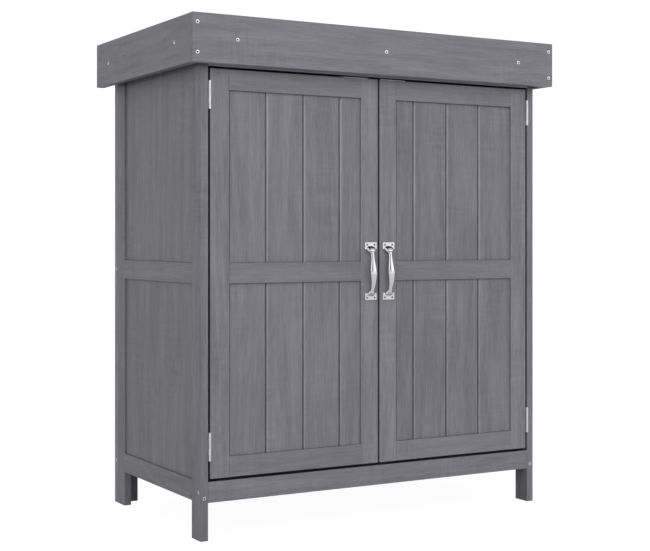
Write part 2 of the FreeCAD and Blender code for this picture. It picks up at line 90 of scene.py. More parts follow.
# Colours, linear
STAIN_COLOUR = (0.178, 0.175, 0.194)
FELT_COLOUR = (0.050, 0.052, 0.056)
ZINC_COLOUR = (0.88, 0.88, 0.86)
STRIKE_COLOUR = (0.93, 0.93, 0.92)
SCREW_COLOUR = (0.95, 0.95, 0.95)
STAINED_ZINC_COLOUR = (0.72, 0.72, 0.73)
SILVER_COLOUR = (0.86, 0.86, 0.85)
PLASTIC_COLOUR = (0.70, 0.69, 0.65)
POLE_COLOUR = (0.42, 0.42, 0.41)
# The screws' painted shade, in their cross recesses and round their heads' rims
PAINTED_RECESS_SHADE = (0.035, 0.035, 0.04)

# Where most of a noise's values lie
NOISE_RANGE = (0.3, 0.7)


class Tree:
    """A short way to write a node tree."""

    def __init__(self, tree):
        self.tree = tree

    def node(self, kind, **settings):
        made = self.tree.nodes.new("ShaderNode" + kind)
        for key, value in settings.items():
            setattr(made, key, value)
        return made

    def link(self, source, target):
        self.tree.links.new(source, target)

    def feed(self, socket, value):
        """Links a socket's value, or writes a number or vector into it."""
        if isinstance(value, bpy.types.NodeSocket):
            self.link(value, socket)
        else:
            socket.default_value = value

    def math(self, operation, a, b=None, clamp=False):
        made = self.node("Math", operation=operation, use_clamp=clamp)
        self.feed(made.inputs[0], a)
        if b is not None:
            self.feed(made.inputs[1], b)
        return made.outputs[0]

    def add(self, total, *others):
        for other in others:
            total = self.math("ADD", total, other)
        return total

    def times(self, product, *others):
        for other in others:
            product = self.math("MULTIPLY", product, other)
        return product

    def minus(self, a, b):
        return self.math("SUBTRACT", a, b)

    def absolute(self, value):
        return self.math("ABSOLUTE", value)

    def fraction(self, value):
        return self.math("FRACT", value)

    def vector(self, x, y, z):
        made = self.node("CombineXYZ")
        for socket, value in zip(made.inputs, (x, y, z)):
            self.feed(socket, value)
        return made.outputs[0]

    def split(self, vector):
        made = self.node("SeparateXYZ")
        self.link(vector, made.inputs[0])
        return made.outputs

    def noise(self, vector, scale, detail=2.0, roughness=0.5):
        made = self.node("TexNoise")
        self.link(vector, made.inputs["Vector"])
        made.inputs["Scale"].default_value = scale
        made.inputs["Detail"].default_value = detail
        made.inputs["Roughness"].default_value = roughness
        return made.outputs["Fac"]

    def cells(self, vector, scale):
        """A random number for each cell, and the distance from the cell's middle."""
        made = self.node("TexVoronoi")
        made.inputs["Scale"].default_value = scale
        self.link(vector, made.inputs["Vector"])
        return self.split(made.outputs["Color"])[0], made.outputs["Distance"]

    def remap(self, value, low, high, new_low, new_high):
        made = self.node("MapRange", clamp=True)
        self.feed(made.inputs["Value"], value)
        made.inputs["From Min"].default_value = low
        made.inputs["From Max"].default_value = high
        made.inputs["To Min"].default_value = new_low
        made.inputs["To Max"].default_value = new_high
        return made.outputs["Result"]

    def scaled_colour(self, colour, factor):
        made = self.node("VectorMath", operation="SCALE")
        self.feed(made.inputs[0], colour)
        self.link(factor, made.inputs["Scale"])
        return made.outputs[0]

    def mixed_colour(self, factor, first, second):
        made = self.node("Mix", data_type="RGBA")
        self.link(factor, made.inputs["Factor"])
        colours = [socket for socket in made.inputs if socket.type == "RGBA"]
        self.feed(colours[0], first)
        self.feed(colours[1], second)
        return next(socket for socket in made.outputs if socket.type == "RGBA")

    def shade(self, kind, **values):
        """A plain shader, with its sockets fed by their names."""
        made = self.node(kind)
        for name, value in values.items():
            self.feed(made.inputs[name], value)
        return made.outputs[0]

    def added_shaders(self, first, second):
        made = self.node("AddShader")
        self.link(first, made.inputs[0])
        self.link(second, made.inputs[1])
        return made.outputs[0]

    def mixed_shaders(self, factor, first, second):
        made = self.node("MixShader")
        self.link(factor, made.inputs["Fac"])
        self.link(first, made.inputs[1])
        self.link(second, made.inputs[2])
        return made.outputs[0]

    def finish(self, kind, shader):
        self.link(shader, self.node(kind).inputs["Surface"])


def grey(value):
    """An opaque colour of one level."""
    return (value, value, value, 1.0)


def add_camera():
    """Level, at the photograph's angle, shifted to put the horizon on its row."""
    data = bpy.data.cameras.new("camera")
    data.sensor_fit = "HORIZONTAL"
    data.sensor_width = SENSOR_WIDTH
    data.lens = FOCAL_PIXELS / PHOTO_WIDTH * SENSOR_WIDTH
    data.shift_y = (HORIZON_ROW - PHOTO_HEIGHT / 2) / PHOTO_WIDTH
    data.clip_end = CAMERA_REACH
    camera = bpy.data.objects.new("camera", data)
    camera.location = CAMERA_PLACE
    camera.rotation_euler = (math.radians(90), 0.0, math.radians(CAMERA_YAW))
    bpy.context.scene.collection.objects.link(camera)
    bpy.context.scene.camera = camera


def add_lobes(tree, direction, lobes, base):
    """Soft lights in the sky, summed on a plain base."""
    x, y, z = tree.split(direction)
    total = base
    for azimuth, height, sharpness, strength in lobes:
        turn = math.radians(azimuth)
        rise = math.radians(height)
        aim = (-math.sin(turn) * math.cos(rise), -math.cos(turn) * math.cos(rise), math.sin(rise))
        facing = tree.add(tree.times(x, aim[0]), tree.times(y, aim[1]), tree.times(z, aim[2]))
        fall = tree.math("POWER", tree.math("MAXIMUM", facing, 0.0), sharpness)
        total = tree.add(tree.times(fall, strength), total)
    return total


def add_world():
    """White to the camera. Surfaces see soft lights all round, the strongest in front
    and at the left. Polish reflects other lights, with dark spaces between them, above a
    bright horizon."""
    world = bpy.data.worlds.new("studio")
    world.use_nodes = True
    world.node_tree.nodes.clear()
    tree = Tree(world.node_tree)
    direction = tree.node("TexCoord").outputs["Generated"]
    surface = add_lobes(tree, direction, SURFACE_LOBES, SURFACE_BASE)
    glossy = add_lobes(tree, direction, GLOSSY_LOBES, GLOSSY_BASE)
    glossy = tree.math("MINIMUM", glossy, GLOSSY_LIMIT)
    rise = tree.split(direction)[2]
    glossy = tree.times(glossy, tree.remap(rise, *LOW_SKY), tree.remap(rise, *HIGH_SKY))
    glossy = tree.math("MAXIMUM", glossy, tree.remap(rise, *HORIZON))
    path = tree.node("LightPath")
    is_glossy = path.outputs["Is Glossy Ray"]
    strength = tree.add(
        tree.times(surface, tree.minus(1.0, is_glossy)),
        tree.times(glossy, is_glossy),
    )
    studio = tree.shade("Background", Color=STUDIO_TINT, Strength=strength)
    backdrop = tree.shade("Background", Color=WHITE, Strength=BACKDROP_STRENGTH)
    is_camera = path.outputs["Is Camera Ray"]
    tree.finish("OutputWorld", tree.mixed_shaders(is_camera, studio, backdrop))
    bpy.context.scene.world = world


def floor_material():
    """White in the picture, with a faint shadow, and plain pale to all else."""
    material = bpy.data.materials.new("floor_white")
    material.use_nodes = True
    material.node_tree.nodes.clear()
    tree = Tree(material.node_tree)
    lit = tree.added_shaders(
        tree.shade("BsdfDiffuse", Color=grey(FLOOR_ALBEDO)),
        tree.shade("Emission", Strength=FLOOR_GLOW),
    )
    seen = tree.added_shaders(
        tree.shade("BsdfDiffuse", Color=grey(FLOOR_SHADOW)),
        tree.shade("Emission", Strength=FLOOR_WHITE - FLOOR_SHADOW),
    )
    is_camera = tree.node("LightPath").outputs["Is Camera Ray"]
    tree.finish("OutputMaterial", tree.mixed_shaders(is_camera, lit, seen))
    return material


def add_floor():
    """A plain square, a little below the feet."""
    mesh = bpy.data.meshes.new("floor")
    reach = FLOOR_REACH
    corners = [(-reach, -reach, 0), (reach, -reach, 0), (reach, reach, 0), (-reach, reach, 0)]
    mesh.from_pydata(corners, [], [(0, 1, 2, 3)])
    mesh.materials.append(floor_material())
    floor = bpy.data.objects.new("floor", mesh)
    floor.location.z = -FLOOR_DROP
    bpy.context.scene.collection.objects.link(floor)


def new_material(name):
    material = bpy.data.materials.new(name)
    material.use_nodes = True
    return material, Tree(material.node_tree), material.node_tree.nodes["Principled BSDF"]


def opened(material):
    """The tree and the shader of a finished material, and the source of its colour."""
    shader = material.node_tree.nodes["Principled BSDF"]
    return Tree(material.node_tree), shader, shader.inputs["Base Color"].links[0].from_socket


def emboss(tree, shader, height, strength, distance):
    """Fine relief on the shader's normal."""
    bump = tree.node("Bump")
    bump.inputs["Strength"].default_value = strength
    bump.inputs["Distance"].default_value = distance
    tree.link(height, bump.inputs["Height"])
    tree.link(bump.outputs["Normal"], shader.inputs["Normal"])


# The wood's figure. Each board is cut from its own place in a tree: its heart lies at a
# random distance behind and beside the face, and leans against the board's length. Over
# each ring the stain goes from pale to dark, by a power of the way through the ring.
RING_SPACING = 4.6 * MM
HEART_DEPTH = (0.035, 0.110)
HEART_SIDE = (-0.05, 0.05)
HEART_LEAN = (-0.09, 0.09)
SIDE_LEAN_SHARE = 0.35
SWAY = (-0.030, 0.030)
STREAK_SWAY_SHARE = 0.4
LATE_SHARPNESS = 3.0
LATE_RANGE = (0.35, -1.0)

# What the seed is multiplied by, for each thing that differs from board to board
DEPTH_RATE = 11.91
SIDE_RATE = 3.713
LEAN_RATE = 7.137
BOARD_RATE = 5.331
DRIFT_RATE = 1.93

# Stretched noises: (scale across the board, scale along it, detail)
SWAY_NOISE = (7.0, 2.2, 2.0)
BROAD_STREAKS = (62.0, 5.0, 2.0)
MIDDLE_STREAKS = (190.0, 16.0, 2.0)
FINE_STREAKS = (520.0, 48.0, 1.0)
FIBRES = (1500.0, 110.0, 1.0)
BARS = (22.0, 150.0, 3.0)

# Even noises (scale, detail). The patches are where rings and cross bars come and go:
# along the board their scale is a share of that across it.
CLOUD_NOISE = (5.5, 3.0)
RING_PATCHES = (9.0, 2.0)
RING_PATCH_STRETCH = 0.35
RING_PATCH_RAMP = (0.35, 0.7, 0.25, 1.0)
BAR_RANGE = (0.35, 0.65)
BAR_PATCHES = (11.0, 1.0)
BAR_PATCH_STRETCH = 0.6
BAR_PATCH_RAMP = (0.48, 0.66, 0.0, 1.0)

# How much each layer changes the stain, how far whole boards differ, and how high the
# layers stand
LATE_WEIGHT = 0.065
BROAD_WEIGHT = 0.115
MIDDLE_WEIGHT = 0.070
FINE_WEIGHT = 0.065
FIBRE_WEIGHT = 0.045
CLOUD_WEIGHT = 0.050
BARS_WEIGHT = 0.065
BOARD_TONES = (-0.04, 0.04)
LATE_HEIGHT = 0.5
FINE_HEIGHT = 0.5
FIBRE_HEIGHT = 0.35


def make_grain_group():
    """Stained softwood. Grain runs along the input vector's Z; X and Y lie across it."""
    group = bpy.data.node_groups.new("stained_grain", "ShaderNodeTree")
    group.interface.new_socket("Along", in_out="INPUT", socket_type="NodeSocketVector")
    for name in ("Seed", "Wear_and_painted_light", "Contrast"):
        group.interface.new_socket(name, in_out="INPUT", socket_type="NodeSocketFloat")
    for name in ("Tone", "Height"):
        group.interface.new_socket(name, in_out="OUTPUT", socket_type="NodeSocketFloat")
    tree = Tree(group)
    source = group.nodes.new("NodeGroupInput").outputs
    x, y, z = tree.split(source["Along"])
    drift = tree.times(source["Seed"], DRIFT_RATE)

    def chance(rate, ends):
        """A number between two ends, one for each seed."""
        return tree.remap(tree.fraction(tree.times(source["Seed"], rate)), 0.0, 1.0, *ends)

    def stretched(beside, across_scale, along_scale, detail):
        """Noise with one scale across the board and another along it."""
        along = tree.add(tree.times(z, along_scale), drift)
        place = tree.vector(tree.times(beside, across_scale), tree.times(y, across_scale), along)
        return tree.noise(place, 1.0, detail)

    def streaks(*shape):
        """Streaks of one size, from -1 to 1, that sway with the grain."""
        swayed = tree.add(x, tree.times(sway, STREAK_SWAY_SHARE))
        return tree.remap(stretched(swayed, *shape), *NOISE_RANGE, -1.0, 1.0)

    # Growth rings round the heart, which fade from place to place
    sway = tree.remap(stretched(x, *SWAY_NOISE), 0.0, 1.0, *SWAY)
    lean = chance(LEAN_RATE, HEART_LEAN)
    across = tree.add(
        x, sway, chance(SIDE_RATE, HEART_SIDE), tree.times(z, tree.times(lean, SIDE_LEAN_SHARE))
    )
    behind = tree.add(y, chance(DEPTH_RATE, HEART_DEPTH), tree.times(z, lean))
    radius = tree.math("SQRT", tree.add(tree.times(across, across), tree.times(behind, behind)))
    ring = tree.fraction(tree.times(radius, 1.0 / RING_SPACING))
    late = tree.remap(tree.math("POWER", ring, LATE_SHARPNESS), 0.0, 1.0, *LATE_RANGE)
    patch = tree.noise(tree.vector(x, y, tree.times(z, RING_PATCH_STRETCH)), *RING_PATCHES)
    late = tree.times(late, tree.remap(patch, *RING_PATCH_RAMP))

    # Streaks and fibres along the grain, and clouds in the stain
    fine = streaks(*FINE_STREAKS)
    fibre = streaks(*FIBRES)
    cloud = tree.remap(tree.noise(tree.vector(x, y, z), *CLOUD_NOISE), *NOISE_RANGE, -1.0, 1.0)

    # Cross figure: faint bars over the grain, here and there along a board
    bars = tree.remap(stretched(x, *BARS), *BAR_RANGE, -1.0, 1.0)
    spread = tree.vector(x, y, tree.add(tree.times(z, BAR_PATCH_STRETCH), drift))
    bars = tree.times(bars, tree.remap(tree.noise(spread, *BAR_PATCHES), *BAR_PATCH_RAMP))

    tone = tree.times(late, LATE_WEIGHT)
    for layer, weight in (
        (streaks(*BROAD_STREAKS), BROAD_WEIGHT),
        (streaks(*MIDDLE_STREAKS), MIDDLE_WEIGHT),
        (fine, FINE_WEIGHT),
        (fibre, FIBRE_WEIGHT),
        (cloud, CLOUD_WEIGHT),
        (bars, BARS_WEIGHT),
    ):
        tone = tree.add(tone, tree.times(layer, weight))
    tone = tree.times(tone, source["Contrast"])
    # The last term carries each material's rubbed wear and its painted light and shade
    tone = tree.add(tone, chance(BOARD_RATE, BOARD_TONES), 1.0, source["Wear_and_painted_light"])
    relief = tree.add(tree.times(fine, FINE_HEIGHT), tree.times(fibre, FIBRE_HEIGHT))
    height = tree.add(tree.times(late, LATE_HEIGHT), relief)
    target = group.nodes.new("NodeGroupOutput")
    tree.link(tone, target.inputs["Tone"])
    tree.link(height, target.inputs["Height"])
    return group


# How strong the figure is on the boards, the frames, the side walls and the doors' rails
BOARD_CONTRAST = 1.0
FRAME_CONTRAST = 1.10
SIDE_CONTRAST = 0.80
RAIL_CONTRAST = 0.85

# How much paler the arrises are, as rubbed stain and painted highlight, or darker where
# the number is below 0. A normal's largest share tells them apart: a spot is flat above
# the first of EASED, and all arris below the second.
RUBBED_AND_HIGHLIGHT = 0.16
LEG_RUBBED_AND_HIGHLIGHT = -0.08
VEE_RUBBED_AND_HIGHLIGHT = 0.62
EASED = (0.95, 0.80)

# Painted highlight: how much of that the vees between the boards have, by the side that
# they face (most where the normal points down the row's axis) and by their height (most up high)
VEE_HIGHLIGHT_SIDES = (-0.3, 0.3, 1.0, 0.15)
VEE_HIGHLIGHT_HEIGHTS = (0.30, 0.60, 0.55, 1.0)

# Painted shade: how much darker the stain is on the walls of the joints, in the vees, and
# on walls along an edge or a gap, where shade falls. A wall is told by its normal's share
# along an axis: none of it is dark below the first of WALL_FACING, and all above the
# second. A vee goes dark between the depths of VEE_START, and pale again between those of VEE_END.
JOINT_PAINTED_SHADE = -0.45
VEE_PAINTED_SHADE = -0.66
VEE_START = (1.7 * MM, 2.5 * MM)
VEE_END = (4.5 * MM, 6.0 * MM)
EDGE_PAINTED_SHADE = -0.50
GAP_PAINTED_SHADE = -0.70
BACK_STILE_PAINTED_SHADE = -0.42
WALL_FACING = (0.90, 0.97)

# Shares of the edges' painted shade for the walls that have less of it
RIGHT_SIDE_SHARE = 0.55
REAR_LEG_SHARE = 0.35
MEETING_SHARE = 0.85
FASCIA_EDGE_SHARE = 0.5
FASCIA_INSIDE_SHARE = 0.2

# Painted light: how much paler the front top rail's face and the front fascia's underside
# are, which lie in the shade of the eaves
UNDER_ROOF_PAINTED_LIGHT = 0.34

# Painted shade: dark lines along an inner edge, or painted shadow along the level of the
# eaves: full within the first distance, none beyond the second, and the change that they make
PAINTED_CORNER_SHADE = (0.4 * MM, 1.8 * MM, -0.25)
PAINTED_STILE_SHADOW = (3.0 * MM, 4.4 * MM, -0.45)
PAINTED_EAVES_SHADOW = (8.0 * MM, 14.0 * MM, -0.50)
EAVES_LEVEL = 806.0 * MM

# How much paler or darker a whole piece is: partly its own tone, and partly painted light
# and shade that set how bright each piece looks under these lights, darker on the lower
# and rear pieces and paler on the fascias
SHADES = {
    "rear_leg": -0.12,
    "front_leg": -0.06,
    "side_lower_panel": -0.07,
    "side_upper_panel": -0.02,
    "side_bottom_rail": -0.09,
    "side_mid_rail": -0.03,
    "door_meeting_stile": 0.05,
    "door_mid_rail": -0.06,
    "left_door_boards": 0.03,
    "right_door_boards": -0.03,
    "front_bottom_rail": -0.02,
    "roof_front_fascia": 0.08,
    "roof_left_fascia": 0.08,
    "roof_right_fascia": 0.08,
}

# The wood's roughness as a ramp over its tone, its gloss, and its relief as (strength,
# distance)
WOOD_ROUGHNESS = (0.80, 1.20, 0.60, 0.46)
WOOD_SPECULAR = 0.42
WOOD_RELIEF = (0.35, 0.12 * MM)

# Axes across, across and along the grain, by the direction that it runs in
GRAIN_AXES = {"x": "zyx", "y": "zxy", "z": "xyz"}

# Seeds: the first, the step from node to node, and the step from board to board
FIRST_SEED = 0.31
SEED_STEP = 0.377
BOARD_SEED_STEP = 0.618


def rubbed_tone(tree, place, normal, rubbed, row):
    """The rubbed and painted-highlight change on eased edges, whose normals lie between two axes. Flat
    faces have none.
    """
    sizes = [tree.absolute(normal[axis]) for axis in "xyz"]
    largest = tree.math("MAXIMUM", sizes[0], tree.math("MAXIMUM", sizes[1], sizes[2]))
    rub = tree.times(tree.remap(largest, *EASED, 0.0, 1.0), rubbed)
    if row is not None:
        # Painted highlight on the rows: paler on the flanks facing down the row's axis, and higher up
        side = tree.remap(normal[row[0]], *VEE_HIGHLIGHT_SIDES)
        rub = tree.times(rub, side, tree.remap(place["z"], *VEE_HIGHLIGHT_HEIGHTS))
    return rub


def vee_tone(tree, place, axis, face, direction):
    """Painted shade, darker from partway down the vees to a little below them."""
    depth = tree.times(tree.minus(place[axis], face), direction)
    vee_shade = tree.remap(depth, *VEE_START, 0.0, VEE_PAINTED_SHADE)
    return tree.times(vee_shade, tree.remap(depth, *VEE_END, 1.0, 0.0))


def corner_tone(tree, place, corners):
    """The darkest of the lines of painted shade along the inner edges."""
    darkest = None
    for axis, value, (near, far, change) in corners:
        away = tree.absolute(tree.minus(place[axis], value))
        line = tree.remap(away, near, far, change, 0.0)
        darkest = line if darkest is None else tree.math("MINIMUM", darkest, line)
    return darkest


def wood_material(
    name, grain, seed, grain_group, row=None, rubbed=RUBBED_AND_HIGHLIGHT, contrast=None, shade=0.0,
    vee=None, corners=(), walls=(),
):
    """Stain for one node, paler or darker by shade. row = (axis, first joint, pitch)
    tells its boards apart. vee = (axis, face, direction) has the depth of its vees,
    corners = (axis, place, line) are the frame's inner edges, with lines of painted
    shade, and walls = (axis, sign, change) are sides painted darker or paler, as shade or light."""
    material, tree, shader = new_material(name)
    coords = tree.node("TexCoord").outputs
    place = dict(zip("xyz", tree.split(coords["Object"])))
    normal = dict(zip("xyz", tree.split(coords["Normal"])))
    wear_and_painted_light = tree.add(rubbed_tone(tree, place, normal, rubbed, row), shade)
    if row is not None:
        axis, first, pitch = row
        board = tree.math("FLOOR", tree.times(tree.minus(place[axis], first), 1.0 / pitch))
        seed = tree.add(tree.times(board, BOARD_SEED_STEP), seed)
        # The joints' walls are painted darker, as shade between the boards
        joint = tree.absolute(normal[axis])
        wear_and_painted_light = tree.add(wear_and_painted_light, tree.remap(joint, *WALL_FACING, 0.0, JOINT_PAINTED_SHADE))
    if vee is not None:
        wear_and_painted_light = tree.add(wear_and_painted_light, vee_tone(tree, place, *vee))
    if corners:
        wear_and_painted_light = tree.add(wear_and_painted_light, corner_tone(tree, place, corners))
    # Walls painted darker or paler, as shade or light
    for axis, sign, change in walls:
        facing = tree.times(normal[axis], sign)
        wear_and_painted_light = tree.add(wear_and_painted_light, tree.remap(facing, *WALL_FACING, 0.0, change))
    if contrast is None:
        contrast = FRAME_CONTRAST if row is None else BOARD_CONTRAST
    figure = tree.node("Group")
    figure.node_tree = grain_group
    along = tree.vector(*(place[axis] for axis in GRAIN_AXES[grain]))
    for socket, value in (("Along", along), ("Seed", seed), ("Wear_and_painted_light", wear_and_painted_light), ("Contrast", contrast)):
        tree.feed(figure.inputs[socket], value)
    tone = figure.outputs["Tone"]
    tree.link(tree.scaled_colour(STAIN_COLOUR, tone), shader.inputs["Base Color"])
    tree.link(tree.remap(tone, *WOOD_ROUGHNESS), shader.inputs["Roughness"])
    shader.inputs["Specular IOR Level"].default_value = WOOD_SPECULAR
    emboss(tree, shader, figure.outputs["Height"], *WOOD_RELIEF)
    return material


# Plated metal: the marks' noise as (detail, roughness), how many times larger the
# clouds are, how both change the tone, and what the marks do to roughness and relief
MARKS = (4.0, 0.6)
PLATE_CLOUD_SIZE = 12.0
PLATE_CLOUDS = (0.93, 1.03)
PLATE_MARKS = (-0.03, 0.03)
PLATE_ROUGHNESS = (0.8, 1.25)
PLATE_RELIEF = (0.12, 0.05 * MM)
SPANGLE_SCALE = 420.0


def metal_material(name, colour, roughness, scratch_scale, spangle=0.0):
    """Plated metal with fine rubbing marks and, for zinc, a faint spangle."""
    material, tree, shader = new_material(name)
    place = tree.node("TexCoord").outputs["Object"]
    marks = tree.noise(place, scratch_scale, *MARKS)
    cloud = tree.noise(place, scratch_scale / PLATE_CLOUD_SIZE)
    shader.inputs["Metallic"].default_value = 1.0
    tone = tree.add(
        tree.remap(cloud, *NOISE_RANGE, *PLATE_CLOUDS),
        tree.remap(marks, *NOISE_RANGE, *PLATE_MARKS),
    )
    if spangle:
        flake = tree.cells(place, SPANGLE_SCALE)[0]
        tone = tree.add(tone, tree.remap(flake, 0.0, 1.0, -spangle, spangle))
    tree.link(tree.scaled_colour(colour, tone), shader.inputs["Base Color"])
    rough = tree.remap(marks, *NOISE_RANGE, *(roughness * share for share in PLATE_ROUGHNESS))
    tree.link(rough, shader.inputs["Roughness"])
    emboss(tree, shader, marks, *PLATE_RELIEF)
    return material


# The hollows where the pulls' grips leave their plates: by height from the pull's
# middle, by distance in front of the plates, by how much a spot faces sideways, and how
# much darker they are painted, as shade and dark reflection, by how far they face up
PULL_PLATE_THICKNESS = 3.4 * MM
HOLLOW_HEIGHTS = (37.6 * MM, 39.4 * MM)
HOLLOW_DEPTHS = (0.8 * MM, 1.6 * MM)
HOLLOW_SIDES = (0.35, 0.60)
HOLLOW_PAINTED_SHADE = (-0.5, 0.2, -0.28, -0.62)
PULL_ROUGHNESS = 0.12
PULL_MARKS = 500.0


def pull_material():
    """Polished plate on the pulls, with painted shade and dark reflection in the hollows where
    each grip leaves its plates, and more of it on what faces up."""
    material = metal_material("cast_silver", SILVER_COLOUR, PULL_ROUGHNESS, PULL_MARKS)
    tree, shader, plain = opened(material)
    coords = tree.node("TexCoord").outputs
    place = tree.split(coords["Object"])
    normal = tree.split(coords["Normal"])
    low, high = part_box("left_handle")
    plate_face = high.y - PULL_PLATE_THICKNESS
    near, far = HOLLOW_DEPTHS
    from_middle = tree.absolute(tree.minus(place[2], (low.z + high.z) / 2))
    hollow = tree.times(
        tree.remap(from_middle, *HOLLOW_HEIGHTS, 0.0, 1.0),
        tree.remap(place[1], plate_face - far, plate_face - near, 1.0, 0.0),
        tree.remap(tree.absolute(normal[0]), *HOLLOW_SIDES, 1.0, 0.0),
    )
    # Painted shade and dark reflection, darker on spots that face up
    tone = tree.add(tree.times(hollow, tree.remap(normal[2], *HOLLOW_PAINTED_SHADE)), 1.0)
    tree.link(tree.scaled_colour(plain, tone), shader.inputs["Base Color"])
    return material


# Felt: the granules' scale and tones, the worn patches' noise (scale, detail) and tones
GRANULE_SCALE = 900.0
GRANULE_TONES = (0.55, 1.7)
FELT_WEAR = (7.0, 4.0)
FELT_WEAR_TONES = (0.82, 1.18)
FELT_ROUGHNESS = 0.92
FELT_SPECULAR = 0.25
FELT_RELIEF = (0.6, 0.6 * MM)


def felt_material():
    """Bitumen felt faced with slate granules."""
    material, tree, shader = new_material("mineral_felt")
    place = tree.node("TexCoord").outputs["Object"]
    granule, distance = tree.cells(place, GRANULE_SCALE)
    tone = tree.times(
        tree.remap(granule, 0.0, 1.0, *GRANULE_TONES),
        tree.remap(tree.noise(place, *FELT_WEAR), *NOISE_RANGE, *FELT_WEAR_TONES),
    )
    tree.link(tree.scaled_colour(FELT_COLOUR, tone), shader.inputs["Base Color"])
    shader.inputs["Roughness"].default_value = FELT_ROUGHNESS
    shader.inputs["Specular IOR Level"].default_value = FELT_SPECULAR
    emboss(tree, shader, tree.minus(1.0, distance), *FELT_RELIEF)
    return material


# Catch: the plastic's mottling as (scale, detail) and its tones, the roughness that goes
# with them, the poles' metal, and how thick a pole is
MOTTLING = (260.0, 3.0)
MOTTLE_TONES = (0.94, 1.05)
PLASTIC_ROUGHNESS = (0.5, 0.4)
POLE_METALLIC = 0.9
POLE_THICKNESS = 1.5 * MM


def pole_levels():
    """Lowest and highest points of the catch's two steel poles, one near its lower side
    and one above its middle."""
    low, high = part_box("magnet_catches")
    middle = low.z + (high.z - low.z) / 2
    lower = low.z + POLE_THICKNESS
    return [(lower, low.z + 2 * POLE_THICKNESS), (middle, middle + POLE_THICKNESS)]


def plastic_material():
    """The catch: moulded plastic, with bare steel at the poles' heights."""
    material, tree, shader = new_material("catch_plastic")
    place = tree.node("TexCoord").outputs["Object"]
    z = tree.split(place)[2]
    poles = [
        tree.times(tree.math("GREATER_THAN", z, low), tree.math("LESS_THAN", z, high))
        for low, high in pole_levels()
    ]
    steel = tree.math("ADD", *poles, clamp=True)
    mottle = tree.remap(tree.noise(place, *MOTTLING), *NOISE_RANGE, *MOTTLE_TONES)
    plain = tree.scaled_colour(PLASTIC_COLOUR, mottle)
    bare = tree.scaled_colour(POLE_COLOUR, mottle)
    tree.link(tree.mixed_colour(steel, plain, bare), shader.inputs["Base Color"])
    tree.link(tree.times(steel, POLE_METALLIC), shader.inputs["Metallic"])
    tree.link(tree.remap(mottle, *MOTTLE_TONES, *PLASTIC_ROUGHNESS), shader.inputs["Roughness"])
    return material


# Scale of the rubbing marks on the screws' heads
SCREW_MARKS = 900.0


def screw_material(name, colour, roughness):
    """Zinc, with painted shade inside the cross recess and round the rim of the head."""
    material = metal_material(name, colour, roughness, SCREW_MARKS)
    tree, shader, plain = opened(material)
    inside = tree.node("Attribute", attribute_name="recess").outputs["Fac"]
    mixed = tree.mixed_colour(inside, plain, (*PAINTED_RECESS_SHADE, 1.0))
    tree.link(mixed, shader.inputs["Base Color"])
    return material


def dress(name, material):
    """Gives a carried-over node its material."""
    node = nodes[name]
    if not node.material_slots:
        node.data.materials.append(material)
    for slot in node.material_slots:
        slot.material = material


# Steps to the metre by which vertices count as one place, and how much of a screw's
# length counts as its end
PLACES_PER_METRE = 1e6
SCREW_END_SHARE = 0.1


def separate_solids(obj):
    """The vertex places of each joined-up solid in a mesh."""
    places = {}
    parent = {}
    keys = []
    for vertex in obj.data.vertices:
        key = tuple(round(value * PLACES_PER_METRE) for value in vertex.co)
        keys.append(key)
        places[key] = vertex.co.copy()
        parent.setdefault(key, key)

    def root(key):
        while parent[key] != key:
            parent[key] = parent[parent[key]]
            key = parent[key]
        return key

    for polygon in obj.data.polygons:
        first = root(keys[polygon.vertices[0]])
        for index in polygon.vertices[1:]:
            parent[root(keys[index])] = first
    solids = {}
    for key, place in places.items():
        solids.setdefault(root(key), []).append(place)
    return list(solids.values())


def screw_place(places):
    """Head centre, direction into the wood, head radius and length of one screw. Its
    longest side is its length, and its wider end is the head."""
    low = Vector([min(place[i] for place in places) for i in range(3)])
    high = Vector([max(place[i] for place in places) for i in range(3)])
    size = high - low
    axis = max(range(3), key=lambda i: size[i])
    others = [i for i in range(3) if i != axis]
    centre = (low + high) / 2
    end_depth = size[axis] * SCREW_END_SHARE

    def width(end):
        """The widest radius near one end."""
        return max(
            math.hypot(*(place[i] - centre[i] for i in others))
            for place in places
            if abs(place[axis] - end[axis]) < end_depth
        )

    head = centre.copy()
    direction = Vector((0.0, 0.0, 0.0))
    if width(low) > width(high):
        head[axis] = low[axis]
        direction[axis] = 1.0
    else:
        head[axis] = high[axis]
        direction[axis] = -1.0
    return head, direction, max(size[i] for i in others) / 2, size[axis]


# A screw's head, in shares of its radius: its rings of points, the dome's rise, the
# recess's depth, and the depth and distance beyond which the recess and the rim are
# painted dark, as shade
HEAD_TURNS = 48
HEAD_RINGS = (0.0, 0.08, 0.16, 0.24, 0.32, 0.40, 0.48, 0.56, 0.66, 0.78, 0.88, 0.94, 1.0)
DOME_RISE = 0.10
RECESS_DEPTH = 0.55
RECESS_START = 0.06
RIM_START = 0.96

# The recess, in shares of its arm: half an arm's width, the round hole in its middle,
# and how steeply its ends and its flanks fall
ARM_WIDTH = 0.36
CENTRE_HOLE = 0.72
ARM_END_SLOPE = 1.5
ARM_FLANK_SLOPE = 1.6

# The head's sides and the shank: shares of the head's radius, of the whole length, and
# of the shank's radius
RIM_LEVEL = 0.12
NECK_LEVEL = 0.85
SHANK_SHARE = 0.45
TAPER_LEVEL = 0.9
TAPER_SHARE = 0.9
TIP_SHARE = 0.1

# How far each screw is turned on from the last, in radians
SCREW_TWIST = 0.9

# Screw nodes: the body, the recess's arm as a share of the head, and whether it is bright
SCREW_NODES = {
    "body_screws": ("cabinet", 0.48, False),
    "roof_screws": ("cabinet", 0.54, True),
    "left_door_screws": ("left_door", 0.78, True),
    "right_door_screws": ("right_door", 0.78, True),
}
BRIGHT_ROUGHNESS = 0.20
STAINED_ROUGHNESS = 0.42


